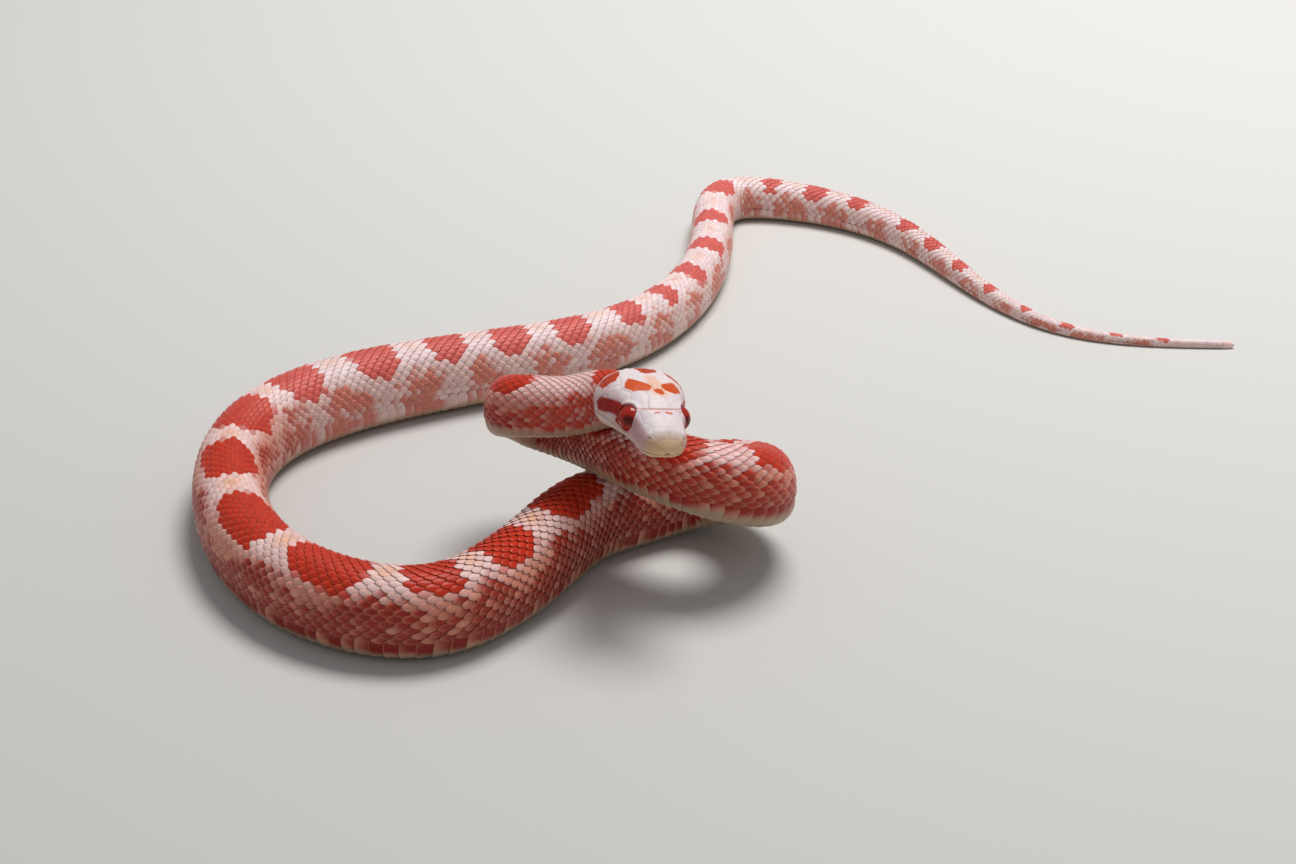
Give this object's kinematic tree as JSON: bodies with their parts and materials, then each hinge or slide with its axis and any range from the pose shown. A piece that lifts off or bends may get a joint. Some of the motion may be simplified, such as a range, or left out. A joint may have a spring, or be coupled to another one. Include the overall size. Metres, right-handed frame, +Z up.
{
  "type": "corn snake",
  "caption": "Young corn snake model, life size, lying in one open loop with its neck coiled back over its body and its head raised.",
  "frame": {"origin": "middle of the bounding box's base, on the floor", "axes": "+Z up, -Y the way the head looks, +X the snake's left at the head"},
  "size_m": [0.1475, 0.1406, 0.0292],
  "materials": {
    "scales_pale": "smooth glossy head shields, white and pinkish with red marks",
    "scales_red": "small glossy overlapping scales, orange-red saddles between whitish-pink gaps, cream belly",
    "eye": "wet glossy dark red with a round darker pupil"
  },
  "bodies": {
    "root": {"head": "scales_pale", "lower_jaw": "scales_pale", "eye_left": "eye", "eye_right": "eye", "neck_front": "scales_red", "neck_rear": "scales_red", "trunk_01": "scales_red", "trunk_02": "scales_red", "trunk_03": "scales_red", "trunk_04": "scales_red", "trunk_05": "scales_red", "trunk_06": "scales_red", "trunk_07": "scales_red", "trunk_08": "scales_red", "trunk_09": "scales_red", "trunk_10": "scales_red", "trunk_11": "scales_red", "trunk_12": "scales_red", "trunk_13": "scales_red", "trunk_14": "scales_red", "trunk_15": "scales_red", "trunk_16": "scales_red", "trunk_17": "scales_red", "trunk_18": "scales_red", "trunk_19": "scales_red", "tail_01": "scales_red", "tail_02": "scales_red", "tail_tip": "scales_red"}
  },
  "joints": []
}
